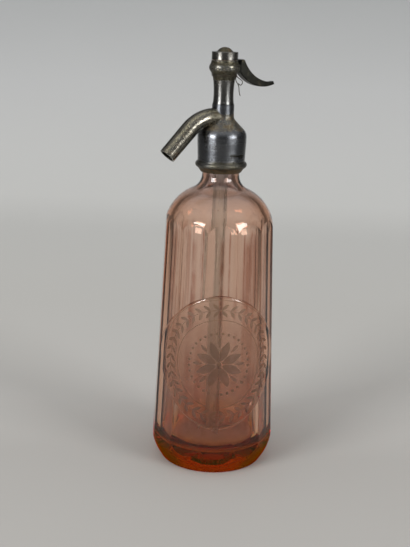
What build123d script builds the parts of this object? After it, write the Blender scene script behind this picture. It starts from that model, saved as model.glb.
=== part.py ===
from build123d import *

import os
from math import atan, cos, pi, radians, sin, sqrt

# Soda siphon: a twelve-panelled glass bottle under a pewter head with a spring valve.
# Millimetres. The origin is the middle of the foot, on the bottle's axis, and +Z is up.
# The spout points along -X and the lever along +X.
# A value in brackets is a point of an outline: its distance from the axis, then its height.

# ---- glass bottle ----
PANELS = 12
PANEL_HALF = 45.4            # axis to the middle of a panel, where the heel begins
PANEL_SLOPE = 0.037          # how far a panel leans inward per millimetre of height
RIDGE_ROUND = 4.0            # rounding of the ridges, which came soft from the mould
HEEL_HEIGHT = 24.4           # where the wall starts to round in to the foot
HEEL_RADIUS = 35.7
FOOT_EDGE = 1.2
DOME_RADIUS = 33.4           # shoulder of the bottle
DOME_HEIGHT = 180.5          # height of the shoulder arc's centre
NECK_RADIUS = 13.8
NECK_HEIGHT = 222.0          # narrowest place below the collar
NECK_BORE = 8.6
GLASS_WALL = 4.3
SHOULDER_WALL = 4.6
FLOOR_HEIGHT = 14.5
FLOOR_CORNER = 14.0
GROOVE_RADIUS = 12.2         # groove under the lip, where the split ring grips
GROOVE_START = 225.0
GROOVE_BOTTOM = 226.5
LIP_BOTTOM = 232.0
LIP_TOP = 237.5
LIP_RADIUS = 13.9
LIP_EDGE = 0.7

# ---- round medallion on the glass ----
MEDALLION_ANGLE = -115.0     # from +X, where its middle faces
MEDALLION_HEIGHT = 89.0
MEDALLION_TALL = 51.0        # half its height
MEDALLION_WIDE = 41.7        # half its width, seen square on
MEDALLION_PROUD = 0.4        # how far it stands out of the ridges
MEDALLION_DEPTH = 5.0        # sunk into the wall
MEDALLION_ROUND = 1.4        # rounding of its rim

# ---- neck collar, split ring and seals ----
COLLAR_BOTTOM = 224.0
COLLAR_OPENING = 14.2
COLLAR_LEDGE = 227.4
COLLAR_BORE = 15.4
COLLAR_JOINT = 232.4         # where the collar meets the bell of the head
SPIGOT_RADIUS = 16.55
SPIGOT_TOP = 242.2
SKIRT_EDGE = (15.0, COLLAR_BOTTOM)
SKIRT_SIDE = (16.3, 226.0)
SKIRT_TOP = (17.6, 227.4)
BEAD_LOW = (18.1, 227.6)
BEAD_FULL = (19.0, 229.4)
BEAD_HIGH = (18.2, 231.3)
RING_GAP = 0.4               # between the halves of the split ring
RING_INNER = 12.5
RING_OUTER = 15.3
GASKET_RADIUS = 13.8
GASKET_BORE = 8.8
FERRULE_BOTTOM = 239.0
FERRULE_TOP = 241.2
FERRULE_HUB = 7.0
FERRULE_DROP = 8.0           # how far the hub reaches down into the neck
ROOF_HEIGHT = 242.4
ROOF_GASKET_BORE = 4.6
TUBE_RADIUS = 5.4
TUBE_BORE = 3.5
TUBE_FOOT = 18.0
TUBE_SLANT = 28.0

# ---- head ----
BELL_FOOT = (17.4, COLLAR_JOINT)
BELL_SIDE = (18.0, 246.0)
BELL_CORNER = (18.0, 253.0)
BELL_THROAT = (8.1, 262.9)
BELL_ROUNDING = 8.0
THROAT_ROUNDING = 5.0
COLUMN_JOINT = 273.4         # where the valve barrel screws into the head
COLUMN_BREAK = 0.5           # chamfer at that joint
CHAMBER_RADIUS = 5.6
INLET_RADIUS = 3.2
SEAT_BOTTOM = 253.0
SEAT_TOP = 258.0
SEAT_LIP = 0.5
SEAT_LIP_WIDTH = 0.6
SEAT_BORE = 2.8
FIT_GAP = 0.05

# ---- spout ----
SPOUT_HEIGHT = 263.9
SPOUT_STUB = 7.4             # from the axis to the start of the bend
SPOUT_BEND = 27.2
SPOUT_TURN = 46.6            # degrees below level at the mouth
SPOUT_REACH = 25.3           # straight run after the bend
SPOUT_ROOT_RADIUS = 6.5
SPOUT_MOUTH_RADIUS = 6.15
SPOUT_BORE = 5.0
PORT_RADIUS = 4.0            # hole through the column's wall into the spout

# ---- valve ----
ROD_RADIUS = 1.25
RUNNING_GAP = 0.06
VALVE_GAP = 0.1              # the shut valve stands this far off its seat
WASHER_RADIUS = 4.3
WASHER_THICK = 2.0
WASHER_NUT_RADIUS = 2.2
WASHER_NUT_THICK = 1.6
ROD_END = 0.6                # how far the rod stands out of the nut
FLANGE_RADIUS = 3.4
FLANGE_THICK = 1.2
PACKING_BOTTOM = 276.0
PACKING_TOP = 280.0
PACKING_RADIUS = 3.6
GLAND_TOP = 284.0
GLAND_RADIUS = 4.25
GLAND_BORE_GAP = 0.3
GLAND_SLOT = 1.2             # width and depth of the driver's slot
LIFT_HEIGHT = 299.25         # underside of the lift collar at rest
LIFT_THICK = 1.5
LIFT_RADIUS = 4.4
SPRING_RADIUS = 3.9
SPRING_WIRE = 0.8
SPRING_TURNS = 4
SPRING_TOP = 309.3

# ---- valve barrel ----
BARREL_FOOT = 268.0
BARREL_BASE = (7.8, COLUMN_JOINT)
BARREL_ANKLE = (7.5, 275.0)
BARREL_WAIST = (7.3, 279.0)
BARREL_HIP = (7.65, 288.0)
BARREL_STEP = (7.95, 290.4)
BARREL_FLARE = (8.65, 293.6)
BULGE_LOW = (10.2, 296.4)
BULGE_FULL = (11.17, 298.8)
BULGE_HIGH = (10.4, 301.4)
BARREL_SHOULDER = (9.85, 302.7)
BARREL_TOP = (9.65, 304.3)
GLAND_WELL_TOP = 291.6
CAVITY_RADIUS = 6.2
CAVITY_BOTTOM = 293.6
CAVITY_TOP = 302.2
BARREL_BORE = 5.4
SLOT_HALF = 3.45
SLOT_BOTTOM = 294.2
SLOT_TOP = 301.9
SLOT_START = 3.8             # from the axis
SLOT_END = 16.0

# ---- cap ----
THREAD_RADIUS = 7.0
THREAD_TOP = 308.3
CAP_WASHER_BORE = 7.1
CAP_WASHER_RADIUS = 8.6
CAP_FOOT = (9.6, 304.7)
CAP_WAIST = (9.5, 307.4)
CAP_RIM = (9.6, 309.8)
CAP_EDGE = (9.3, 310.2)
CAP_DISH = (6.1, 310.3)
KNOB_FOOT = (5.3, 311.0)
CAP_TOP = 313.5
CAP_RECESS = 4.6             # radius of the seat of the spring

# ---- lever ----
PIVOT_X = 8.0
PIVOT_HEIGHT = 298.5
PIN_RADIUS = 1.1
PIN_HALF = 9.0               # half its length before it is filed flush with the bulge
BOSS_RADIUS = 3.0
TONGUE_HALF = 3.1
TONGUE_BOTTOM = 295.6
TONGUE_TOP = 301.4
TONGUE_END = 13.5
FORK_HALF = 1.6
FORK_TIP = -0.5
FORK_DEPTH = 3.2             # from the axis to the bottom of the fork
FORK_BOTTOM = 296.3
FORK_TOP = 298.9
LEVER_HEEL = (11.9, 295.2)
LEVER_BROW = (11.9, 303.6)
LEVER_CROWN = (13.3, 305.0)
LEVER_SHOULDER = (15.5, 303.6)
LEVER_BACK = (22.9, 294.4)
LEVER_DIP = (37.5, 289.0)
LEVER_TIP = (40.9, 289.4)
LEVER_END = (41.9, 287.3)
LEVER_BELLY = (18.5, 289.3)
LEVER_LOW = (29.0, 285.65)
LEVER_HALF = 3.6             # half its width over the root
LEVER_TIP_HALF = 2.3
LEVER_EDGE = 0.7             # rounding along the horn

# ---- seal wire ----
WIRE_RADIUS = 0.3
WIRE_ANGLE = -36.0           # where its ends hang, from +X
WIRE_TURNS = ((294.1, 9.1, 1.5), (293.2, 8.85, -2.0))  # height, radius and tilt of each turn
WIRE_CURL = ((9.0, 0, 293.7), (10.6, 0.9, 291.8), (13.2, 1.2, 289.4), (12.4, 0.3, 287.2), (10.4, 0.6, 288.2))
WIRE_TAIL = ((8.9, 0, 293.2), (8.8, -1.0, 290.0), (10.6, -1.2, 287.0), (11.2, -0.4, 283.0), (12.2, 0, 279.4))


def turned(outline):
    """A solid turned about the upright axis, from a closed outline of radius and height."""
    return revolve(Plane.XZ * outline, Axis.Z)


def ring(inner, outer, low, high):
    """A plain ring or tube between two heights."""
    return Pos(0, 0, low) * extrude(Circle(outer) - Circle(inner), high - low)


def disc(radius, low, high):
    """A plain round plate or pin between two heights."""
    return Pos(0, 0, low) * extrude(Circle(radius), high - low)


def block(low, high):
    """A plain block between two opposite corners."""
    size = [high[i] - low[i] for i in range(3)]
    middle = [(high[i] + low[i]) / 2 for i in range(3)]
    return Pos(*middle) * Box(*size)


def panel_distance(height):
    """Distance from the axis to the middle of a panel."""
    return PANEL_HALF - PANEL_SLOPE * (height - HEEL_HEIGHT)


def ridge_distance(height):
    """Distance from the axis to the line where two neighbouring panels would meet."""
    return panel_distance(height) / cos(pi / PANELS)


def panel_block():
    """Twelve-sided block with leaning sides and soft ridges, as tall as the panels reach."""
    ends = []
    for height in (0, DOME_HEIGHT + DOME_RADIUS):
        outline = RegularPolygon(ridge_distance(height), PANELS)
        outline = fillet(outline.vertices(), RIDGE_ROUND)
        ends.append(Pos(0, 0, height) * Rot(0, 0, MEDALLION_ANGLE + 180 / PANELS) * outline)
    return loft(ends, ruled=True)


def shoulder_line(dome_x, dome_radius, neck_radius, slope, foot):
    """The side of a turned body, from a point low on its wall over the shoulder to the neck."""
    lean = atan(slope)
    across = neck_radius - dome_x
    rise = NECK_HEIGHT - DOME_HEIGHT
    throat = (across**2 + rise**2 - dome_radius**2) / (2 * (dome_radius - across))
    reach = dome_radius + throat
    start = (dome_x + dome_radius * cos(lean), DOME_HEIGHT + dome_radius * sin(lean))
    bend = (
        dome_x + dome_radius * (across + throat) / reach,
        DOME_HEIGHT + dome_radius * rise / reach,
    )
    low = (start[0] + slope * (start[1] - foot), foot)
    end = (neck_radius, NECK_HEIGHT)
    line = Line(low, start)
    line += RadiusArc(start, bend, -dome_radius)
    line += RadiusArc(bend, end, throat)
    return line, low, end


def bottle_outside():
    """The turned outside of the bottle: foot, heel, wall, shoulder, neck and lip."""
    slope = PANEL_SLOPE / cos(pi / PANELS)
    dome_x = ridge_distance(DOME_HEIGHT) - DOME_RADIUS
    side, heel, neck = shoulder_line(dome_x, DOME_RADIUS, NECK_RADIUS, slope, HEEL_HEIGHT)
    heel_x = heel[0] - HEEL_RADIUS * cos(atan(slope))
    heel_z = HEEL_HEIGHT - HEEL_RADIUS * sin(atan(slope))
    foot = heel_x + sqrt(HEEL_RADIUS**2 - (heel_z - FOOT_EDGE) ** 2)
    side += RadiusArc((foot, FOOT_EDGE), heel, -HEEL_RADIUS)
    side += RadiusArc((foot - FOOT_EDGE, 0), (foot, FOOT_EDGE), -FOOT_EDGE)
    side += Polyline(
        neck,
        (NECK_RADIUS, GROOVE_START),
        (GROOVE_RADIUS, GROOVE_BOTTOM),
        (GROOVE_RADIUS, LIP_BOTTOM),
        (LIP_RADIUS - LIP_EDGE, LIP_BOTTOM),
    )
    side += RadiusArc((LIP_RADIUS - LIP_EDGE, LIP_BOTTOM), (LIP_RADIUS, LIP_BOTTOM + LIP_EDGE), -LIP_EDGE)
    side += Line((LIP_RADIUS, LIP_BOTTOM + LIP_EDGE), (LIP_RADIUS, LIP_TOP - LIP_EDGE))
    side += RadiusArc((LIP_RADIUS, LIP_TOP - LIP_EDGE), (LIP_RADIUS - LIP_EDGE, LIP_TOP), -LIP_EDGE)
    side += Polyline((LIP_RADIUS - LIP_EDGE, LIP_TOP), (0, LIP_TOP), (0, 0), (foot - FOOT_EDGE, 0))
    return turned(make_face(side))


def bottle_inside():
    """The turned hollow of the bottle, over its thick floor and up through the neck."""
    wall = panel_distance(DOME_HEIGHT) - GLASS_WALL
    dome_radius = DOME_RADIUS - SHOULDER_WALL
    foot = FLOOR_HEIGHT + FLOOR_CORNER
    side, low, neck = shoulder_line(wall - dome_radius, dome_radius, NECK_BORE, PANEL_SLOPE, foot)
    side += Polyline(neck, (NECK_BORE, LIP_TOP + 1), (0, LIP_TOP + 1), (0, FLOOR_HEIGHT))
    side += Line((0, FLOOR_HEIGHT), (low[0] - FLOOR_CORNER, FLOOR_HEIGHT))
    side += RadiusArc((low[0] - FLOOR_CORNER, FLOOR_HEIGHT), low, -FLOOR_CORNER)
    return turned(make_face(side))


def medallion():
    """The smooth round shield moulded over the panels, curved with the bottle."""
    low = MEDALLION_HEIGHT - MEDALLION_TALL - MEDALLION_DEPTH
    high = MEDALLION_HEIGHT + MEDALLION_TALL + MEDALLION_DEPTH
    low_face = ridge_distance(low) + MEDALLION_PROUD
    high_face = ridge_distance(high) + MEDALLION_PROUD
    band = turned(make_face(Polyline(
        (low_face, low),
        (high_face, high),
        (high_face - MEDALLION_DEPTH, high),
        (low_face - MEDALLION_DEPTH, low),
        (low_face, low),
    )))
    facing = Plane((0, 0, MEDALLION_HEIGHT), x_dir=(0, -1, 0), z_dir=(1, 0, 0))
    shield = extrude(facing * Ellipse(MEDALLION_WIDE, MEDALLION_TALL), PANEL_HALF * 2)
    shield = band & (Rot(0, 0, MEDALLION_ANGLE) * shield)
    rim = shield.edges().sort_by(SortBy.LENGTH)[-1]
    return fillet(rim, MEDALLION_ROUND)


def bottle():
    """Twelve-panelled bottle of thick glass, round at the foot, with its medallion."""
    body = bottle_outside() & panel_block()
    neck = bottle_outside() - disc(PANEL_HALF * 2, -1, DOME_HEIGHT + DOME_RADIUS - 1)
    return body + neck + medallion() - bottle_inside()


def dip_tube():
    """Glass tube from the head down to just above the floor, cut at a slant at its foot."""
    tube = ring(TUBE_BORE, TUBE_RADIUS, TUBE_FOOT - TUBE_RADIUS, FERRULE_TOP)
    wide = TUBE_RADIUS * 4
    cut = Pos(0, 0, TUBE_FOOT) * (Rot(0, TUBE_SLANT, 0) * block((-wide, -wide, -wide), (wide, wide, 0)))
    return tube - cut


def tube_ferrule():
    """Tin plate that lies on the glass lip and grips the top of the dip tube."""
    plate = ring(TUBE_RADIUS, GASKET_RADIUS, FERRULE_BOTTOM, FERRULE_TOP)
    return plate + ring(TUBE_RADIUS, FERRULE_HUB, FERRULE_BOTTOM - FERRULE_DROP, FERRULE_BOTTOM)


def lower_gasket():
    """Rubber ring between the glass lip and the ferrule."""
    return ring(GASKET_BORE, GASKET_RADIUS, LIP_TOP, FERRULE_BOTTOM)


def upper_gasket():
    """Rubber ring between the ferrule and the roof of the bell."""
    return ring(ROOF_GASKET_BORE, GASKET_RADIUS, FERRULE_TOP, ROOF_HEIGHT)


def neck_ring_half(turn):
    """One half of the split ring that carries the collar under the glass lip."""
    whole = ring(RING_INNER, RING_OUTER, COLLAR_LEDGE, LIP_BOTTOM)
    wide = RING_OUTER * 2
    keep = block((-wide, RING_GAP, COLLAR_BOTTOM), (wide, wide, LIP_TOP))
    return whole & (Rot(0, 0, turn) * keep)


def neck_collar():
    """Pewter collar: a bead and skirt round the neck, threaded up into the bell."""
    outline = Polyline(
        SKIRT_EDGE,
        (COLLAR_OPENING, COLLAR_BOTTOM),
        (COLLAR_OPENING, COLLAR_LEDGE),
        (COLLAR_BORE, COLLAR_LEDGE),
        (COLLAR_BORE, SPIGOT_TOP),
        (SPIGOT_RADIUS, SPIGOT_TOP),
        (SPIGOT_RADIUS, COLLAR_JOINT),
        BELL_FOOT,
        (BELL_FOOT[0], BEAD_HIGH[1]),
        BEAD_HIGH,
    )
    outline += ThreePointArc(BEAD_HIGH, BEAD_FULL, BEAD_LOW)
    outline += Polyline(BEAD_LOW, SKIRT_TOP, SKIRT_SIDE, SKIRT_EDGE)
    return turned(make_face(outline))


def head_outside():
    """Outer form of the head: bell, sloping shoulder and the root of the column."""
    face = make_face(Polyline(
        (0, COLLAR_JOINT),
        BELL_FOOT,
        BELL_SIDE,
        BELL_CORNER,
        BELL_THROAT,
        (BELL_THROAT[0], COLUMN_JOINT - COLUMN_BREAK),
        (BELL_THROAT[0] - COLUMN_BREAK, COLUMN_JOINT),
        (0, COLUMN_JOINT),
        (0, COLLAR_JOINT),
    ))
    for corner, rounding in ((BELL_CORNER, BELL_ROUNDING), (BELL_THROAT, THROAT_ROUNDING)):
        face = fillet(face.vertices().sort_by_distance((*corner, 0))[0], rounding)
    return turned(face)


def head_body():
    """Bell and column root in one casting, with the valve chamber and the spout port."""
    body = head_outside()
    body -= disc(SPIGOT_RADIUS + FIT_GAP, COLLAR_JOINT, ROOF_HEIGHT)
    body -= disc(INLET_RADIUS, ROOF_HEIGHT, SEAT_BOTTOM)
    body -= disc(CHAMBER_RADIUS, SEAT_BOTTOM, COLUMN_JOINT)
    port = Pos(-SPOUT_STUB / 2, 0, SPOUT_HEIGHT) * Rot(0, 90, 0) * Cylinder(PORT_RADIUS, SPOUT_STUB)
    return body - port - spout_bore()


def spout_path():
    """Centre line of the spout, from the column out, over the bend and down to its mouth."""
    turn = radians(SPOUT_TURN)
    bend_end = (-SPOUT_STUB - SPOUT_BEND * sin(turn), SPOUT_HEIGHT - SPOUT_BEND * (1 - cos(turn)))
    mouth = (bend_end[0] - SPOUT_REACH * cos(turn), bend_end[1] - SPOUT_REACH * sin(turn))
    line = RadiusArc((-SPOUT_STUB, SPOUT_HEIGHT), bend_end, -SPOUT_BEND)
    line += Line(bend_end, mouth)
    return Plane.XZ * line


def spout_bore():
    """The waterway of the spout, as a solid to cut away."""
    path = spout_path()
    run_out = Plane(path @ 1, z_dir=path % 1) * extrude(Circle(SPOUT_BORE), SPOUT_BORE)
    return sweep(Plane(path @ 0, z_dir=path % 0) * Circle(SPOUT_BORE), path=path) + run_out


def spout():
    """Tapered pewter spout, soldered onto the column and the shoulder of the bell."""
    path = spout_path()
    sections = []
    for share in (0.0, 0.35, 0.7, 1.0):
        radius = SPOUT_ROOT_RADIUS + (SPOUT_MOUTH_RADIUS - SPOUT_ROOT_RADIUS) * share
        sections.append(Plane(path @ share, z_dir=path % share) * Circle(radius))
    tube = sweep(sections, path=path, multisection=True)
    root = Pos(-SPOUT_STUB / 2, 0, SPOUT_HEIGHT) * Rot(0, 90, 0) * Cylinder(SPOUT_ROOT_RADIUS, SPOUT_STUB)
    return tube + root - head_outside() - spout_bore()


def valve_seat():
    """Brass seat pressed into the head, with a narrow raised lip."""
    seat = ring(SEAT_BORE, CHAMBER_RADIUS, SEAT_BOTTOM, SEAT_TOP)
    return seat + ring(SEAT_BORE, SEAT_BORE + SEAT_LIP_WIDTH, SEAT_TOP, SEAT_TOP + SEAT_LIP)


def valve_face():
    """Height of the underside of the rubber disc when the valve is shut."""
    return SEAT_TOP + SEAT_LIP + VALVE_GAP


def valve_washer():
    """Rubber disc that shuts on the seat."""
    return ring(ROD_RADIUS, WASHER_RADIUS, valve_face(), valve_face() + WASHER_THICK)


def washer_nut():
    """Small round nut that holds the rubber disc on the rod."""
    return ring(ROD_RADIUS, WASHER_NUT_RADIUS, valve_face() - WASHER_NUT_THICK, valve_face())


def valve_rod():
    """Brass rod from the valve up through the packing to the lift collar."""
    flange = valve_face() + WASHER_THICK
    rod = disc(ROD_RADIUS, valve_face() - WASHER_NUT_THICK - ROD_END, LIFT_HEIGHT + LIFT_THICK)
    return rod + disc(FLANGE_RADIUS, flange, flange + FLANGE_THICK)


def lift_collar():
    """Round collar on top of the rod, which the lever's fork lifts."""
    return ring(ROD_RADIUS, LIFT_RADIUS, LIFT_HEIGHT, LIFT_HEIGHT + LIFT_THICK)


def stem_packing():
    """Greased leather packing round the rod."""
    return ring(ROD_RADIUS + RUNNING_GAP, PACKING_RADIUS, PACKING_BOTTOM, PACKING_TOP)


def packing_nut():
    """Threaded gland that squeezes the packing, with a slot across its top for a driver."""
    nut = ring(ROD_RADIUS + GLAND_BORE_GAP, GLAND_RADIUS, PACKING_TOP, GLAND_TOP)
    across = GLAND_RADIUS * 2
    slot_low = (-across, -GLAND_SLOT / 2, GLAND_TOP - GLAND_SLOT)
    return nut - block(slot_low, (across, GLAND_SLOT / 2, GLAND_TOP + 1))


def valve_spring():
    """Coil spring between the lift collar and the cap."""
    low = LIFT_HEIGHT + LIFT_THICK + SPRING_WIRE / 2 + FIT_GAP
    high = SPRING_TOP - SPRING_WIRE / 2 - FIT_GAP
    path = Pos(0, 0, low) * Helix((high - low) / SPRING_TURNS, high - low, SPRING_RADIUS)
    start = Plane(path @ 0, z_dir=path % 0)
    return sweep(start * Circle(SPRING_WIRE / 2), path=path, is_frenet=True)


def barrel_outside():
    """Outer form of the valve barrel: waisted column, flare, bulge, shoulder and threaded top."""
    line = Polyline((0, COLUMN_JOINT), BARREL_BASE, BARREL_ANKLE)
    line += ThreePointArc(BARREL_ANKLE, BARREL_WAIST, BARREL_HIP)
    line += Line(BARREL_HIP, BARREL_STEP)
    line += ThreePointArc(BARREL_STEP, BARREL_FLARE, BULGE_LOW)
    line += ThreePointArc(BULGE_LOW, BULGE_FULL, BULGE_HIGH)
    line += ThreePointArc(BULGE_HIGH, BARREL_SHOULDER, BARREL_TOP)
    line += Polyline(
        BARREL_TOP,
        (THREAD_RADIUS, BARREL_TOP[1]),
        (THREAD_RADIUS, THREAD_TOP),
        (0, THREAD_TOP),
        (0, COLUMN_JOINT),
    )
    return turned(make_face(line))


def valve_barrel():
    """Barrel above the column joint: packing chamber, lever cavity and its slot at the back."""
    body = barrel_outside() + disc(CHAMBER_RADIUS, BARREL_FOOT, COLUMN_JOINT)
    body -= disc(ROD_RADIUS + RUNNING_GAP, BARREL_FOOT, PACKING_BOTTOM)
    body -= disc(PACKING_RADIUS, PACKING_BOTTOM, PACKING_TOP)
    body -= disc(GLAND_RADIUS, PACKING_TOP, GLAND_WELL_TOP)
    rise = CAVITY_BOTTOM - GLAND_WELL_TOP
    body -= Pos(0, 0, GLAND_WELL_TOP + rise / 2) * Cone(GLAND_RADIUS, CAVITY_RADIUS, rise)
    body -= disc(CAVITY_RADIUS, CAVITY_BOTTOM, CAVITY_TOP)
    body -= disc(BARREL_BORE, CAVITY_TOP, THREAD_TOP)
    body -= block((SLOT_START, -SLOT_HALF, SLOT_BOTTOM), (SLOT_END, SLOT_HALF, SLOT_TOP))
    return body - pin_solid(PIN_RADIUS)


def cap_washer():
    """Thin fibre ring under the cap."""
    return ring(CAP_WASHER_BORE, CAP_WASHER_RADIUS, BARREL_TOP[1], CAP_FOOT[1])


def spring_cap():
    """Round cap with a crisp rim and a low knob, screwed over the top of the barrel."""
    rise = CAP_TOP - KNOB_FOOT[1]
    knob = (rise**2 + KNOB_FOOT[0] ** 2) / (2 * rise)
    line = Line((0, CAP_FOOT[1]), CAP_FOOT)
    line += ThreePointArc(CAP_FOOT, CAP_WAIST, CAP_RIM)
    line += Polyline(CAP_RIM, CAP_EDGE, CAP_DISH, KNOB_FOOT)
    line += RadiusArc(KNOB_FOOT, (0, CAP_TOP), -knob)
    line += Line((0, CAP_TOP), (0, CAP_FOOT[1]))
    body = turned(make_face(line)) - disc(THREAD_RADIUS, CAP_FOOT[1], THREAD_TOP)
    return body - disc(CAP_RECESS, THREAD_TOP, SPRING_TOP)


def pin_solid(radius):
    """A pin through the bulge, across the lever's tongue."""
    return Pos(PIVOT_X, 0, PIVOT_HEIGHT) * Rot(90, 0, 0) * Cylinder(radius, PIN_HALF * 2)


def lever_pin():
    """Steel pivot pin, filed flush with the bulge at both ends."""
    return pin_solid(PIN_RADIUS) & barrel_outside()


def lever_horn():
    """The outer part of the lever: a horn that sweeps down, out and up to a thin tip."""
    side = Line(LEVER_HEEL, LEVER_BROW)
    side += ThreePointArc(LEVER_BROW, LEVER_CROWN, LEVER_SHOULDER)
    back = ThreePointArc(LEVER_SHOULDER, LEVER_BACK, LEVER_DIP)
    side += back + TangentArc(LEVER_DIP, LEVER_TIP, tangent=back % 1)
    side += Line(LEVER_TIP, LEVER_END)
    belly = ThreePointArc(LEVER_HEEL, LEVER_BELLY, LEVER_LOW)
    side += belly + TangentArc(LEVER_LOW, LEVER_END, tangent=belly % 1)
    horn = extrude(Plane.XZ * make_face(side), LEVER_HALF * 2, both=True)
    start = LEVER_HEEL[0] - 1
    middle = (LEVER_HEEL[0] + LEVER_END[0]) / 2
    end = LEVER_END[0] + 1
    cheek = ThreePointArc((start, LEVER_HALF), (middle, LEVER_HALF - 0.3), (end, LEVER_TIP_HALF))
    plan = cheek + mirror(cheek, Plane.XZ)
    plan += Line((start, LEVER_HALF), (start, -LEVER_HALF))
    plan += Line((end, LEVER_TIP_HALF), (end, -LEVER_TIP_HALF))
    horn = horn & (Pos(0, 0, LEVER_LOW[1] - 1) * extrude(make_face(plan), LEVER_CROWN[1] - LEVER_LOW[1] + 2))
    cheeks = [e for e in horn.edges() if e.center().X > LEVER_HEEL[0] + 0.5 and abs(e.center().Y) > 2]
    return fillet(cheeks, LEVER_EDGE)


def lever():
    """Lever in one casting: horn, tongue round the pin and a fork under the lift collar."""
    boss = Pos(PIVOT_X, 0, PIVOT_HEIGHT) * Rot(90, 0, 0) * Cylinder(BOSS_RADIUS, TONGUE_HALF * 2)
    tongue = block((PIVOT_X, -TONGUE_HALF, TONGUE_BOTTOM), (TONGUE_END, TONGUE_HALF, TONGUE_TOP))
    nose = block((FORK_TIP, -TONGUE_HALF, FORK_BOTTOM), (PIVOT_X, TONGUE_HALF, FORK_TOP))
    body = lever_horn() + boss + tongue + nose
    body -= block((FORK_TIP - 1, -FORK_HALF, FORK_BOTTOM - 1), (FORK_DEPTH, FORK_HALF, FORK_TOP + 1))
    return body - pin_solid(PIN_RADIUS + RUNNING_GAP)


def seal_wire():
    """Old sealing wire: two turns under the bulge, with two kinked loose ends."""
    wire = Circle(WIRE_RADIUS)
    pieces = [
        Pos(0, 0, height) * Rot(tilt, 0, 0) * Torus(radius, WIRE_RADIUS)
        for height, radius, tilt in WIRE_TURNS
    ]
    for points in (WIRE_CURL, WIRE_TAIL):
        path = Spline(*points)
        end = sweep(Plane(path @ 0, z_dir=path % 0) * wire, path=path)
        pieces.append(Rot(0, 0, WIRE_ANGLE) * end)
    return pieces[0] + pieces[1:]


NODES = {
    "bottle": bottle,
    "dip_tube": dip_tube,
    "tube_ferrule": tube_ferrule,
    "lower_gasket": lower_gasket,
    "upper_gasket": upper_gasket,
    "neck_collar": neck_collar,
    "head_body": head_body,
    "spout": spout,
    "valve_seat": valve_seat,
    "valve_washer": valve_washer,
    "washer_nut": washer_nut,
    "valve_rod": valve_rod,
    "lift_collar": lift_collar,
    "stem_packing": stem_packing,
    "packing_nut": packing_nut,
    "valve_spring": valve_spring,
    "valve_barrel": valve_barrel,
    "cap_washer": cap_washer,
    "spring_cap": spring_cap,
    "lever_pin": lever_pin,
    "lever": lever,
    "seal_wire": seal_wire,
}

os.makedirs("parts", exist_ok=True)
for name, make in NODES.items():
    export_step(make(), f"parts/{name}.step")
for name, turn in (("neck_ring_left", 0), ("neck_ring_right", 180)):
    export_step(neck_ring_half(turn), f"parts/{name}.step")
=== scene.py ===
from math import cos, pi, radians, sin

import bpy
from mathutils import Matrix, Vector

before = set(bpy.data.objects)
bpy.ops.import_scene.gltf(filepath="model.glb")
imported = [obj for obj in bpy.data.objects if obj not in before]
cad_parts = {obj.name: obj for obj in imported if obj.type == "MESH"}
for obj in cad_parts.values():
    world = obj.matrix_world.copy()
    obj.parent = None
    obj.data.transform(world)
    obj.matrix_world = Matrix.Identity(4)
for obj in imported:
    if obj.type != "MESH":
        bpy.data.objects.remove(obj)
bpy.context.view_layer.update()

bpy.ops.object.select_all(action="DESELECT")


# ---- Table ----
# The siphon stands on a plain pale table of painted board, which runs far back and then sweeps
# up into its own backdrop. The paint is matt and faintly mottled. Light and shade are painted
# into it: darker round the siphon and up the sweep and brightest about a metre back, and dark at
# the far sides and far front as painted shade where the room is dim.

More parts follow.
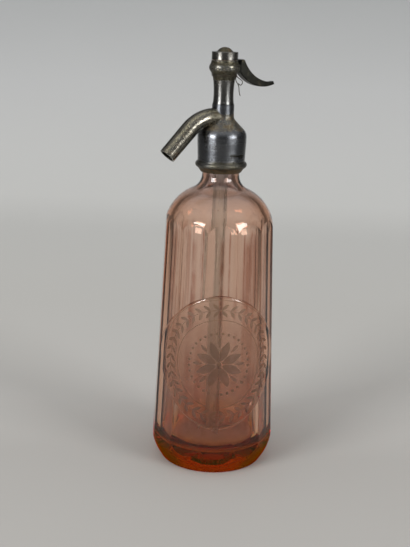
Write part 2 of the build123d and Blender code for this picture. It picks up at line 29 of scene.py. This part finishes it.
class Shade:
    """A socket of a material. Sums on it add Math nodes; node() adds any other kind of node."""

    def __init__(self, tree, socket=None):
        self.tree = tree
        self.socket = socket

    def node(self, kind, settings=None, sockets=None, out=0):
        made = self.tree.nodes.new("ShaderNode" + kind)
        for name, value in (settings or {}).items():
            if name == "stops":
                ramp = made.color_ramp
                while len(ramp.elements) < len(value):
                    ramp.elements.new(1.0)
                for element, (place, colour) in zip(ramp.elements, value):
                    element.position = place
                    element.color = (*colour, 1)
            else:
                setattr(made, name, value)
        for name, value in (sockets or {}).items():
            if isinstance(value, Shade):
                self.tree.links.new(value.socket, made.inputs[name])
            else:
                made.inputs[name].default_value = value
        return Shade(self.tree, made.outputs[out] if made.outputs else None)

    def sum(self, operation, *values):
        return self.node("Math", {"operation": operation}, dict(enumerate(values)))

    def __add__(self, other):
        return self.sum("ADD", self, other)

    def __sub__(self, other):
        return self.sum("SUBTRACT", self, other)

    def __rsub__(self, other):
        return self.sum("SUBTRACT", other, self)

    def __mul__(self, other):
        return self.sum("MULTIPLY", self, other)

    __radd__ = __add__
    __rmul__ = __mul__

    def most(self, other):
        return self.sum("MAXIMUM", self, other)

    def size(self):
        """This without its sign."""
        return self.sum("ABSOLUTE", self)

    def step(self, low, high):
        """0 below low, 1 above high and a soft step between them."""
        sockets = {"Value": self, "From Min": low, "From Max": high}
        return self.node("MapRange", {"interpolation_type": "SMOOTHSTEP"}, sockets)

    def span(self, low, rise, fall, high):
        """1 from rise to fall and 0 outside low and high, with soft steps between them."""
        return self.step(low, rise) * (1 - self.step(fall, high))

    def within(self, half, edge):
        """1 where this is close to 0 and 0 where it is further off than half, with a soft edge."""
        return (half - self.size()).step(0, edge)

    def between(self, first, second):
        """A colour that goes from first to second as this goes from 0 to 1."""
        return self.node("Mix", {"data_type": "RGBA"}, {0: self, 6: first, 7: second}, 2)

    def noise(self, place, scale, detail=3.0, roughness=0.5):
        """Fractal noise around 0.5; scale is in waves per metre."""
        sockets = {"Vector": place, "Scale": scale, "Detail": detail, "Roughness": roughness}
        return self.node("TexNoise", None, sockets)

    def place(self):
        """Where a point is on the object, in metres."""
        return self.node("TexCoord", None, None, "Object")

    def parts(self, place):
        """The x, y and z of a place."""
        split = self.node("SeparateXYZ", None, {0: place})
        return [Shade(self.tree, out) for out in split.socket.node.outputs]

    def stretched(self, place, turn=(0, 0, 0), scale=(1, 1, 1)):
        """A place that has been turned and then scaled, for a pattern that has a direction."""
        return self.node("Mapping", None, {"Vector": place, "Rotation": turn, "Scale": scale})

    def bump(self, height, strength, depth):
        return self.node("Bump", None, {"Height": height, "Strength": strength, "Distance": depth})

    def surface(self, **sockets):
        """A Principled surface. An underscore in a name stands for a space."""
        named = {name.replace("_", " "): value for name, value in sockets.items()}
        return self.node("BsdfPrincipled", None, named)

    def finish(self, volume=None, over=None, **sockets):
        """Ends the material. over is a mask and a second surface, which covers the first there."""
        surface = self.surface(**sockets)
        if over:
            surface = self.node("MixShader", None, {0: over[0], 1: surface, 2: over[1]})
        ends = {"Surface": surface}
        if volume:
            ends["Volume"] = volume
        self.node("OutputMaterial", None, ends)


def new_material(name):
    material = bpy.data.materials.new(name)
    material.use_nodes = True
    material.node_tree.nodes.clear()
    return material, Shade(material.node_tree)


TABLE_HALF = 4.0
TABLE_BACK = 1.9                    # from the siphon back to the upright part of the sweep
TABLE_DROP = 0.0003                 # air under the foot of the glass
SWEEP_HEIGHT = 3.0
SWEEP_BEND = 1.1
SWEEP_STEPS = 24
SIPHON_TURN = radians(-30)          # how far the spout is turned round towards the camera
TABLE_RUN = 2.0                     # from the siphon back and up, the length of the painted light's stops
# painted light and shade: the paint's brightness in stops from the siphon back and up the sweep
TABLE_PAINTED_LIGHT = (
    (0.0, (0.465, 0.452, 0.430)),
    (0.05, (0.530, 0.518, 0.495)),
    (0.2, (0.565, 0.556, 0.530)),
    (0.5, (0.670, 0.670, 0.650)),
    (0.8, (0.580, 0.585, 0.583)),
    (1.0, (0.475, 0.485, 0.485)),
)
TABLE_PAINTED_SHADE = (0.17, 0.165, 0.155, 1)  # painted shade at the far sides and the far front, where the room is dim
FRONT_FADE = (0.45, 0.95)            # how far in front of the siphon the painted shade comes in
SIDE_FADE = (0.22, 0.65)             # how far aside it does, level with the siphon
SPREAD_BACK = 0.30                   # how much wider the pale part gets per metre back
SPREAD_FRONT = 0.51                  # and per metre to the front


def pick_back_edge():
    """Selects the edge of the flat board that lies furthest back, and nothing else."""
    for edge in table.data.edges:
        ends = [table.data.vertices[v].co for v in edge.vertices]
        edge.select = all(end.y > 0 and end.z < SWEEP_HEIGHT / 2 for end in ends)


board_middle = (0, TABLE_BACK - TABLE_HALF, -TABLE_DROP)
bpy.ops.mesh.primitive_plane_add(size=2 * TABLE_HALF, location=board_middle)
table = bpy.context.object
table.name = "table_top"
bpy.ops.object.mode_set(mode="EDIT")
bpy.ops.mesh.select_all(action="DESELECT")
bpy.ops.object.mode_set(mode="OBJECT")
pick_back_edge()
bpy.ops.object.mode_set(mode="EDIT")
bpy.ops.mesh.select_mode(type="EDGE")
bpy.ops.mesh.extrude_region_move(TRANSFORM_OT_translate={"value": (0, 0, SWEEP_HEIGHT)})
bpy.ops.object.mode_set(mode="OBJECT")
pick_back_edge()
bpy.ops.object.mode_set(mode="EDIT")
bpy.ops.mesh.bevel(offset=SWEEP_BEND, segments=SWEEP_STEPS, affect="EDGES")
bpy.ops.object.mode_set(mode="OBJECT")
bpy.ops.object.transform_apply(location=True)
table.data.transform(Matrix.Rotation(SIPHON_TURN, 4, "Z"))
bpy.ops.object.shade_smooth()
table_paint, m = new_material("pale_table")
place = m.place()
sideways, back, up = m.parts(m.stretched(place, turn=(0, 0, -SIPHON_TURN)))
# painted shade: the paint goes dark in front of the siphon and far to the sides
front = (0 - back).step(*FRONT_FADE)
side = (sideways.size() - (back * SPREAD_BACK).most(back * -SPREAD_FRONT)).step(*SIDE_FADE)
mottle = m.noise(place, 5, 2) - 0.5
# painted light and shade along the board and up the sweep, with a faint real mottle
run = (back + up) * (1 / TABLE_RUN) + mottle * 0.03
pale = run.node("ValToRGB", {"stops": TABLE_PAINTED_LIGHT}, {0: run})
m.finish(
    Base_Color=front.most(side).between(pale, TABLE_PAINTED_SHADE),
    Roughness=0.85,
    Specular_IOR_Level=0.2,
)
table.data.materials.append(table_paint)
table.select_set(False)


# ---- Light and camera ----
# A tall soft light stands to the left in front of the siphon and a second one to the right, in a
# dim even room. The camera looks down a little from the height of the siphon's cap.
CAMERA_DISTANCE = 0.7241
CAMERA_HEIGHT = 0.33775
CAMERA_PITCH = radians(14.87)
CAMERA_YAW = radians(0.72)
CAMERA_ROLL = radians(1.92)
FOCAL_PIXELS = 987.54
PICTURE_HEIGHT = 547
SENSOR_HEIGHT = 24.0
LIGHT_DISTANCE = 2.6
LIGHT_AIM = Vector((0, 0, 0.2))
ROOM_STOPS = (                      # how bright the room is, from below up to the ceiling
    (0.0, (0.05, 0.05, 0.05)),
    (0.15, (0.07, 0.07, 0.07)),
    (0.5, (0.32, 0.32, 0.32)),
    (0.8, (0.76, 0.76, 0.76)),
)

camera_data = bpy.data.cameras.new("camera")
camera_data.sensor_fit = "VERTICAL"
camera_data.sensor_height = SENSOR_HEIGHT
camera_data.lens = FOCAL_PIXELS * SENSOR_HEIGHT / PICTURE_HEIGHT
camera = bpy.data.objects.new("camera", camera_data)
bpy.context.collection.objects.link(camera)
spot = Vector((sin(SIPHON_TURN), -cos(SIPHON_TURN), 0)) * CAMERA_DISTANCE
spot.z = CAMERA_HEIGHT
heading = Matrix.Rotation(SIPHON_TURN + CAMERA_YAW, 4, "Z")
tilt = Matrix.Rotation(radians(90) - CAMERA_PITCH, 4, "X") @ Matrix.Rotation(CAMERA_ROLL, 4, "Z")
camera.matrix_world = Matrix.Translation(spot) @ heading @ tilt
bpy.context.scene.camera = camera

world = bpy.data.worlds.new("room")
bpy.context.scene.world = world
world.use_nodes = True
world.node_tree.nodes.clear()
room = Shade(world.node_tree)
up = room.parts(room.node("TexCoord", None, None, "Generated"))[2]
shine = up.node("ValToRGB", {"stops": ROOM_STOPS}, {0: up})
walls = room.node("Background", None, {"Color": shine, "Strength": 1.0})
room.node("OutputWorld", None, {"Surface": walls})
bpy.context.scene.view_settings.view_transform = "Standard"


def soft_box(name, azimuth, elevation, width, height, power):
    light = bpy.data.lights.new(name, "AREA")
    light.shape = "RECTANGLE"
    light.size = width
    light.size_y = height
    light.energy = power
    lamp = bpy.data.objects.new(name, light)
    bpy.context.collection.objects.link(lamp)
    heading = SIPHON_TURN + radians(azimuth)
    rise = radians(elevation)
    away = Vector((sin(heading) * cos(rise), -cos(heading) * cos(rise), sin(rise)))
    facing = away.to_track_quat("Z", "Y").to_matrix().to_4x4()
    lamp.matrix_world = Matrix.Translation(LIGHT_AIM + away * LIGHT_DISTANCE) @ facing


soft_box("left_window", -45, 15, 1.15, 1.05, 54)
soft_box("right_window", 53, 15, 1.05, 1.00, 38)


# ---- Bottle ----
# Heavy pressed glass, tinted salmon: the thick foot looks orange and the walls pale pink. The
# round shield carries an etched wreath of leaves round a rosette. Outside, ridges and foot are
# scuffed; inside, lime has dried on the lower wall. A brown film lies inside on the floor and up
# the rear wall: partly residue, partly painted shade where the lower rear looks dark.
SHIELD_ANGLE = radians(-115)
SHIELD_HEIGHT = 0.089
SHIELD_RADIUS = 0.046
OUTER_SKIN = 0.0415                 # the etching lies further from the axis than this
ETCH_EDGE = 0.00016
THIN_RINGS = ((0.0408, 0.00035), (0.0483, 0.0003), (0.0335, 0.0003))  # radius and half width
WREATH_ROWS = ((0.0433, 0.75), (0.0383, -0.75))   # radius and lean of each row of leaves
WREATH_LEAVES = 19                  # pairs of leaves on each side
LEAF = (0.0034, 0.0013)             # half length and half width
PETALS = 8
PETAL_OUT = 0.0105                  # from the middle of the rosette to the middle of a petal
PETAL = (0.0082, 0.0033)
SEPAL_OUT = 0.0165
SEPAL = (0.0040, 0.0013)
DOTS = 32
DOT_RING = 0.0232
DOT_RADIUS = 0.0011
EYE_RADIUS = 0.0016
PANELS = 12
RIDGE_WEAR = (0.0002, 0.0026)       # from the middle of a ridge, where its wear fades
WALL_HEIGHTS = (0.030, 0.045, 0.172, 0.186)       # where the streaks start, are full and end
RIPPLE_START = (0.178, 0.195)       # the shoulder above here is wavy
NECK_HEIGHTS = (0.196, 0.212)
FOOT_RIM_TOP = (0.001, 0.006)
FOOT_RIM_OUT = (0.030, 0.036)
SKIN_EDGE = 0.0004
REAR_ANGLE = radians(60)            # the rear side, where the brown film runs up the inner wall as painted shade
REAR_DEPTH = (0.005, 0.028)
RESIDUE_AND_SHADE_TOP = (0.028, 0.075)        # where the film of residue and painted shade ends on the rear wall
FLOOR_SKIN = (0.0125, 0.0140)       # the lowest of the inside, under its rounded floor
FLOOR_TOP = (0.0165, 0.0210)
LIME_HEIGHTS = (0.018, 0.060, 0.085, 0.135)       # where the lime starts, is full and ends
FOOT_HEIGHTS = (0.012, 0.034)       # the thick foot is orange up to here
LIME_STRENGTH = 0.95
STREAK_STRENGTH = 0.8
FILM_STRENGTH = 0.60
GLASS_BODY = {"Color": (0.89, 0.475, 0.165, 1), "Density": 95.0}
FOOT_TINT = (1, 0.78, 0.28, 1)
CLEAR_GLASS = (1, 0.99, 1, 1)
THICK_GLASS = (0.62, 0.40, 0.34, 1)
NECK_GLASS = (0.70, 0.72, 0.80, 1)
LIME = (0.58, 0.47, 0.43, 1)
# residue and painted shade: the brown of the film inside the floor and up the rear wall
RESIDUE_AND_SHADE = (0.45, 0.30, 0.26, 1)
RESIDUE_AND_SHADE_FILM = (0.64, 0.37, 0.25, 1)
SPECK = (0.35, 0.25, 0.18, 1)
ETCHED_GREY = (0.40, 0.36, 0.27, 1)


def dress(material, *nodes):
    for node in nodes:
        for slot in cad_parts[node].material_slots:
            slot.material = material


glass, m = new_material("salmon_glass")
place = m.place()
x, y, z = m.parts(m.stretched(place, turn=(0, 0, -SHIELD_ANGLE)))
from_axis = m.sum("SQRT", x * x + y * y)
turn = m.sum("ARCTAN2", y, x)
across = turn * SHIELD_RADIUS
rise = z - SHIELD_HEIGHT
radius = m.sum("SQRT", across * across + rise * rise)
around = m.sum("ARCTAN2", across, rise)


def repeated(angle, count, distance):
    """Distance across from the middle of the nearest of count places round a ring."""
    turns = angle * (count / (2 * pi))
    return (m.sum("FRACT", turns) - 0.5) * distance * (2 * pi / count)


def leaf(along, out, length, width):
    """1 inside a pointed leaf, from the distances along and across it."""
    reach = along * (1 / length)
    return out.within((1 - reach * reach) * width, ETCH_EDGE)


etched = (EYE_RADIUS - radius).step(0, ETCH_EDGE)
for centre, half in THIN_RINGS:
    etched = etched.most((radius - centre).within(half, ETCH_EDGE))
cell = repeated(around.size(), 2 * WREATH_LEAVES, radius)
for centre, lean in WREATH_ROWS:
    out = radius - centre
    along = cell * cos(lean) + out * sin(lean)
    etched = etched.most(leaf(along, out * cos(lean) - cell * sin(lean), *LEAF))
petal = repeated(around, PETALS, radius)
etched = etched.most(leaf(radius - PETAL_OUT, petal, *PETAL))
sepal = repeated(around + pi / PETALS, PETALS, radius)
etched = etched.most(leaf(radius - SEPAL_OUT, sepal, *SEPAL))
dot = repeated(around, DOTS, DOT_RING)
dot_out = radius - DOT_RING
dot_radius = m.sum("SQRT", dot * dot + dot_out * dot_out)
etched = etched.most((DOT_RADIUS - dot_radius).step(0, ETCH_EDGE))
patchy = m.noise(place, 160, 3).step(0.25, 0.55) * 0.3 + 0.7
etched = etched * patchy * (from_axis - OUTER_SKIN).step(0, 0.0002)

ridge = 1 - repeated(turn + pi / PANELS, PANELS, from_axis).size().step(*RIDGE_WEAR)
ridge = ridge * m.noise(place, 45, 2).step(0.3, 0.6)
streak = m.noise(m.stretched(place, scale=(1, 1, 0.03)), 80, 3, 0.6).step(0.55, 0.70)
thick = ridge.most(streak * STREAK_STRENGTH) * z.span(*WALL_HEIGHTS)

inner_skin = (OUTER_SKIN - from_axis).step(-SKIN_EDGE, SKIN_EDGE)
behind = x * cos(REAR_ANGLE - SHIELD_ANGLE) + y * sin(REAR_ANGLE - SHIELD_ANGLE)
# the brown film: residue over the inner floor, and painted shade up the inner rear wall
rear_wall = behind.step(*REAR_DEPTH) * (1 - z.step(*RESIDUE_AND_SHADE_TOP))
residue_and_shade = inner_skin * z.step(*FLOOR_SKIN) * rear_wall.most(1 - z.step(*FLOOR_TOP))
residue_and_shade = residue_and_shade * (m.noise(place, 60, 4).step(0.2, 0.6) * 0.3 + 0.7)
lime = inner_skin * z.span(*LIME_HEIGHTS) * LIME_STRENGTH
specks = m.noise(place, 700, 2).step(0.71, 0.76) * m.noise(place, 70, 2).step(0.45, 0.6)

colour = thick.between(CLEAR_GLASS, THICK_GLASS)
colour = lime.between(colour, LIME)
colour = residue_and_shade.between(colour, RESIDUE_AND_SHADE)
colour = z.step(*NECK_HEIGHTS).between(colour, NECK_GLASS)
colour = specks.between(colour, SPECK)

haze = m.noise(place, 26, 4, 0.6).step(0.45, 0.8)
scuffs = m.noise(m.stretched(place, scale=(1, 1, 0.25)), 420, 4, 0.7).step(0.62, 0.72)
foot_rim = (1 - z.step(*FOOT_RIM_TOP)) * from_axis.step(*FOOT_RIM_OUT)
foot_wear = foot_rim * m.noise(place, 900, 2).step(0.35, 0.6)
waves = m.noise(m.stretched(place, scale=(1, 1, 0.35)), 55, 2)
ripples = m.noise(m.stretched(place, scale=(1, 1, 3)), 60, 2) * z.step(*RIPPLE_START)
wear = haze * 0.05 + scuffs * 0.12 + foot_wear * 0.4
m.finish(
    volume=m.node("VolumeAbsorption", None, GLASS_BODY),
    over=(residue_and_shade * FILM_STRENGTH, m.surface(Base_Color=RESIDUE_AND_SHADE_FILM, Roughness=0.8)),
    Base_Color=etched.between(colour, ETCHED_GREY),
    Coat_Weight=1 - z.step(*FOOT_HEIGHTS),
    Coat_IOR=1.0,
    Coat_Tint=FOOT_TINT,
    Roughness=wear + etched * 0.5 + residue_and_shade * 0.2 + 0.01,
    IOR=1.55,
    Transmission_Weight=1.0,
    Normal=m.bump(waves + ripples * 0.7 + scuffs * 0.03, 0.35, 0.0006),
)
dress(glass, "bottle")


# ---- Dip tube and its seat ----
# A drawn glass tube, a little green, hangs in the bottle. A tin ferrule grips its top and lies
# between two black rubber rings on the lip of the glass.
TUBE_GLASS = (0.96, 0.98, 0.97, 1)
TUBE_BODY = {"Color": (0.50, 0.68, 0.58, 1), "Density": 28.0}
BRIGHT_TIN = (0.52, 0.52, 0.49, 1)
DULL_TIN = (0.27, 0.25, 0.21, 1)
BLACK_RUBBER = (0.020, 0.018, 0.016, 1)
RUBBER_BLOOM = (0.075, 0.065, 0.055, 1)

tube_glass, m = new_material("tube_glass")
place = m.place()
draw_lines = m.noise(m.stretched(place, scale=(1, 1, 0.08)), 260, 2)
scale_spots = m.noise(m.stretched(place, scale=(1, 1, 0.1)), 300, 3).step(0.4, 0.8)
m.finish(
    volume=m.node("VolumeAbsorption", None, TUBE_BODY),
    Base_Color=TUBE_GLASS,
    Roughness=scale_spots * 0.15 + 0.25,
    IOR=1.3,
    Transmission_Weight=1.0,
    Normal=m.bump(draw_lines, 0.3, 0.0005),
)
dress(tube_glass, "dip_tube")

tin, m = new_material("dull_tin")
place = m.place()
stain = m.noise(place, 240, 4, 0.6).step(0.4, 0.7)
m.finish(
    Base_Color=stain.between(BRIGHT_TIN, DULL_TIN),
    Metallic=1.0,
    Roughness=stain * 0.25 + 0.33,
    Normal=m.bump(m.noise(place, 900, 4), 0.35, 0.0003),
)
dress(tin, "tube_ferrule")

rubber, m = new_material("old_rubber")
place = m.place()
bloom = m.noise(place, 380, 4, 0.65).step(0.45, 0.75)
m.finish(
    Base_Color=bloom.between(BLACK_RUBBER, RUBBER_BLOOM),
    Roughness=bloom * 0.2 + 0.6,
    Normal=m.bump(m.noise(place, 1400, 3), 0.4, 0.0002),
)
dress(rubber, "lower_gasket", "upper_gasket", "valve_washer")


# ---- Brass pieces ----
# The split ring under the lip and the valve's seat, nut, rod, collar and gland are turned brass.
# It shows fine rings from the lathe and has gone brown where nothing rubs it.
BRIGHT_BRASS = (0.72, 0.50, 0.20, 1)
BROWN_BRASS = (0.24, 0.15, 0.07, 1)
FINE_RINGS = (60, 60, 5200)         # waves per metre along x, y and z

brass, m = new_material("turned_brass")
place = m.place()
lathe = m.noise(m.stretched(place, scale=FINE_RINGS), 1.0, 2)
dull = m.noise(place, 300, 4, 0.6).step(0.42, 0.7)
m.finish(
    Base_Color=dull.between(BRIGHT_BRASS, BROWN_BRASS),
    Metallic=1.0,
    Roughness=dull * 0.25 + 0.27,
    Normal=m.bump(lathe, 0.25, 0.0001),
)
dress(brass, "neck_ring_left", "neck_ring_right", "valve_seat", "washer_nut")
dress(brass, "valve_rod", "lift_collar", "packing_nut")


# ---- Leather washers ----
# The rod runs through a packing of greased leather, and a flat leather washer seals the cap. The
# leather is dark where the grease has soaked in.
DRY_LEATHER = (0.20, 0.115, 0.06, 1)
GREASED_LEATHER = (0.055, 0.035, 0.022, 1)

leather, m = new_material("packing_leather")
place = m.place()
grease = m.noise(place, 500, 3).step(0.4, 0.65)
m.finish(
    Base_Color=grease.between(DRY_LEATHER, GREASED_LEATHER),
    Roughness=0.75 - grease * 0.3,
    Normal=m.bump(m.noise(place, 1800, 5, 0.7), 0.6, 0.0003),
)
dress(leather, "stem_packing", "cap_washer")


# ---- Collar and head ----
# The collar and the bell were cast in pewter and turned. They have gone dark grey, with olive
# and brown tarnish in the corners, rust-brown stains on the cone and rubbed rims. The bell has a
# dark scratched line with nicks in front.
OLIVE_TARNISH = (0.085, 0.078, 0.054, 1)
BROWN_STAIN = (0.110, 0.075, 0.040, 1)
# worn metal; on the spout it also paints a highlight
RUBBED_METAL_AND_HIGHLIGHT = (0.46, 0.42, 0.29, 1)
PIT_DIRT = (0.030, 0.027, 0.020, 1)
LATHE_RINGS = (70, 70, 6000)        # waves per metre of the rings that the lathe left
SKIRT_TOP = (0.2270, 0.2285)
BEAD_HEIGHT = 0.2294
FOOT_TOP = (0.2330, 0.2350)
CONE_HEIGHTS = (0.2525, 0.2560, 0.2655, 0.2680)
SEAM_HEIGHT = 0.2734                # where the barrel is screwed into the head
CUT_TURN = radians(77)              # brings the scratched line to +X
CUT_HEIGHT = 0.2375
CUT_HALF = 0.008
NICK_HEIGHT = 0.2366


def pewter(m, tarnish, stain, rubbed_and_highlight, spread, depth, marks=0.0, rough=0.24, warm=0.0,
           lathe=LATHE_RINGS):
    """One pewter surface, from masks of tarnish, stain, worn metal and dark marks. On the spout
    the worn metal mask also carries a painted highlight.
    """
    place = m.place()
    cloud = m.noise(place, 95, 5, 0.65)
    grain = m.noise(place, 1500, 3, 0.6)
    blotch = m.noise(place, 210, 5, 0.7)
    tarnish = (tarnish + (cloud - 0.5) * 1.1).step(0.25, 0.85)
    stain = (stain + (blotch - 0.5) * 2.4).step(0.3, 0.9)
    # worn metal, which on the spout is also a painted highlight
    rubbed_and_highlight = (rubbed_and_highlight + (grain - 0.5) * 2.2).step(0.45, 0.9)
    low = (0.125 + 0.06 * warm, 0.130 + 0.035 * warm, 0.136 - 0.02 * warm, 1)
    high = (0.195 + 0.11 * warm, 0.190 + 0.07 * warm, 0.178 - 0.02 * warm, 1)
    colour = tarnish.between(cloud.between(low, high), OLIVE_TARNISH)
    colour = stain.between(colour, BROWN_STAIN)
    colour = rubbed_and_highlight.between(colour, RUBBED_METAL_AND_HIGHLIGHT)
    pits = m.noise(place, 620, 4, 0.7).step(0.56, 0.70)
    colour = (pits * 0.7).most(marks).between(colour, PIT_DIRT)
    rings = m.noise(m.stretched(place, scale=lathe), 1.0, 2)
    dents = pits.most(marks * 2.0) * (tarnish * 2.0 + 0.4)
    m.finish(
        Base_Color=colour,
        Metallic=1 - stain * 0.35,
        Roughness=tarnish * 0.14 + stain * 0.15 + blotch * 0.12 + (rough - 0.06),
        Anisotropic=spread,
        Anisotropic_Rotation=0.25,
        Normal=m.bump(rings * 0.6 - dents + grain * tarnish * 1.6, 1.0, depth),
    )


collar_pewter, m = new_material("collar_pewter")
z = m.parts(m.place())[2]
skirt = 1 - z.step(*SKIRT_TOP)
bead_rim = (z - BEAD_HEIGHT).within(0.0006, 0.0006)
pewter(
    m,
    tarnish=skirt * 0.3 + 0.55,
    stain=skirt * 0.55 + 0.15,
    rubbed_and_highlight=bead_rim * 0.35 + skirt * 0.10,
    rough=0.30,
    spread=0.4,
    depth=0.00012,
)
dress(collar_pewter, "neck_collar")

head_pewter, m = new_material("head_pewter")
place = m.place()
ahead, aside, z = m.parts(m.stretched(place, turn=(0, 0, CUT_TURN)))
cone = z.span(*CONE_HEIGHTS)
foot = 1 - z.step(*FOOT_TOP)
seam = (z - SEAM_HEIGHT).within(0.00045, 0.0003)
waver = (m.noise(place, 300, 3) - 0.5) * 0.0012
nicks = m.noise(m.stretched(place, scale=(1, 1, 0.3)), 800, 2).step(0.5, 0.6)
nicks = nicks * (z - NICK_HEIGHT).within(0.0015, 0.0006)
cut = (z - CUT_HEIGHT + waver).within(0.0007, 0.0002).most(nicks)
cut = cut * aside.within(CUT_HALF, 0.002) * ahead.step(0, 0.005)
pewter(
    m,
    tarnish=cone * 0.5 + foot * 0.45,
    stain=cone * 0.45 + 0.12,
    rubbed_and_highlight=cone * 0.4 + 0.05,
    marks=seam.most(cut),
    rough=0.25,
    spread=0.6,
    depth=0.00010,
    warm=-0.2,
)
dress(head_pewter, "head_body")


# ---- Spout ----
# A cast pewter tube, bent and soldered to the column and the shoulder. It is rough all over and
# darker along the top and underside. A brassy stripe runs down its side: partly worn metal,
# partly a painted highlight where the left window's reflection lies along the tube.
ROOT_START = (-0.016, -0.009)
# where the stripe of worn metal and painted highlight runs along the tube
HIGHLIGHT_STRIPE_SIDE = -0.0040
ROUGH_CAST = (420, 420, 420)

spout_pewter, m = new_material("spout_pewter")
x, y = m.parts(m.place())[:2]
root = x.step(*ROOT_START)
# painted highlight: a brassy stripe along the side, partly on worn metal
worn_and_highlight_stripe = (y - HIGHLIGHT_STRIPE_SIDE).within(0.0016, 0.0012)
# darker along the top and underside of the tube
top = 1 - y.size().step(0.0018, 0.0034)
pewter(
    m,
    tarnish=root * 0.3 + 0.35,
    stain=0.30,
    rubbed_and_highlight=worn_and_highlight_stripe * 0.55 + 0.08,
    marks=top * 0.5,
    rough=0.19,
    spread=0.0,
    depth=0.00025,
    warm=0.35,
    lathe=ROUGH_CAST,
)
dress(spout_pewter, "spout")


# ---- Valve spring, barrel and cap ----
# The barrel is pewter, screwed into the head: a polished waist under a rough grimy bulge, with
# a turned cap on top of it. The spring under the cap is plain drawn steel.
BULGE_START = (0.2885, 0.2905)
BELLY_START = (0.2950, 0.2970)
GRIME_BELOW = (0.2895, 0.2915, 0.2965, 0.2975)
GRIME_ABOVE = (0.3005, 0.3015, 0.3030, 0.3040)
CAP_TOP = (0.3100, 0.3106)
DRAWN_STEEL = (0.42, 0.42, 0.41, 1)
STEEL_RUST = (0.16, 0.075, 0.03, 1)

spring_steel, m = new_material("spring_steel")
place = m.place()
rust = m.noise(place, 700, 4, 0.7).step(0.55, 0.75)
m.finish(
    Base_Color=rust.between(DRAWN_STEEL, STEEL_RUST),
    Metallic=1 - rust * 0.6,
    Roughness=rust * 0.4 + 0.28,
    Normal=m.bump(m.noise(place, 2600, 3), 0.3, 0.0001),
)
dress(spring_steel, "valve_spring")

barrel_pewter, m = new_material("barrel_pewter")
place = m.place()
z = m.parts(place)[2]
bulge = z.step(*BULGE_START)
grime = z.span(*GRIME_BELOW).most(z.span(*GRIME_ABOVE))
pocks = m.noise(m.stretched(place, scale=(1, 1, 2)), 420, 4, 0.7).step(0.50, 0.60) * bulge
pewter(
    m,
    tarnish=bulge * 0.45 + grime * 0.4,
    stain=grime * 0.2 + 0.1,
    rubbed_and_highlight=z.step(*BELLY_START) * 0.40 + 0.05,
    marks=pocks * 0.75,
    spread=0.8,
    depth=0.00009,
    warm=0.05,
)
dress(barrel_pewter, "valve_barrel")

cap_pewter, m = new_material("cap_pewter")
z = m.parts(m.place())[2]
top = z.step(*CAP_TOP)
pewter(
    m,
    tarnish=top * 0.7 + 0.25,
    stain=top * 0.4 + 0.1,
    rubbed_and_highlight=0.25,
    spread=0.7,
    depth=0.0001,
    warm=0.15,
)
dress(cap_pewter, "spring_cap")


# ---- Lever and its pin ----
# The lever is a cast horn, blackened all over and brown where a thumb presses it. It turns on a
# plain steel pin that is filed flush with the bulge.
THUMB_PLACE = (0.014, 0.019, 0.026, 0.034)
LEVER_BLACK = (0.006, 0.006, 0.005, 1)
LEVER_GREY = (0.018, 0.018, 0.013, 1)
LEVER_WORN = (0.080, 0.068, 0.043, 1)
PLAIN_STEEL = (0.35, 0.34, 0.31, 1)
DARK_STEEL = (0.10, 0.085, 0.06, 1)

lever_black, m = new_material("blackened_lever")
place = m.place()
x = m.parts(place)[0]
cloud = m.noise(place, 170, 5, 0.65)
grain = m.noise(place, 1300, 4, 0.65)
worn = (x.span(*THUMB_PLACE) * 0.30 + (cloud - 0.5) * 2.8).step(0.2, 0.9)
colour = cloud.between(LEVER_BLACK, LEVER_GREY)
m.finish(
    Base_Color=worn.between(colour, LEVER_WORN),
    Metallic=0.85,
    Roughness=worn * 0.12 + grain * 0.15 + 0.27,
    Normal=m.bump(grain + m.noise(place, 380, 3) * 1.5, 0.8, 0.00012),
)
dress(lever_black, "lever")

pin_steel, m = new_material("pin_steel")
place = m.place()
dark = m.noise(place, 800, 4, 0.7).step(0.4, 0.7)
m.finish(
    Base_Color=dark.between(PLAIN_STEEL, DARK_STEEL),
    Metallic=1.0,
    Roughness=dark * 0.25 + 0.3,
    Normal=m.bump(m.noise(place, 2400, 3), 0.3, 0.0001),
)
dress(pin_steel, "lever_pin")


# ---- Seal wire ----
# Two turns of thin soft iron wire, once sealed with lead, are left round the flare under the
# bulge. They have rusted dark, and their kinked ends hang beside the lever.
DARK_WIRE = (0.060, 0.055, 0.042, 1)
WIRE_RUST = (0.045, 0.030, 0.015, 1)

old_wire, m = new_material("old_wire")
place = m.place()
rust = m.noise(place, 900, 4, 0.7).step(0.35, 0.65)
m.finish(
    Base_Color=rust.between(DARK_WIRE, WIRE_RUST),
    Metallic=0.8 - rust * 0.4,
    Roughness=rust * 0.25 + 0.4,
    Normal=m.bump(m.noise(place, 3000, 3), 0.4, 0.0001),
)
dress(old_wire, "seal_wire")
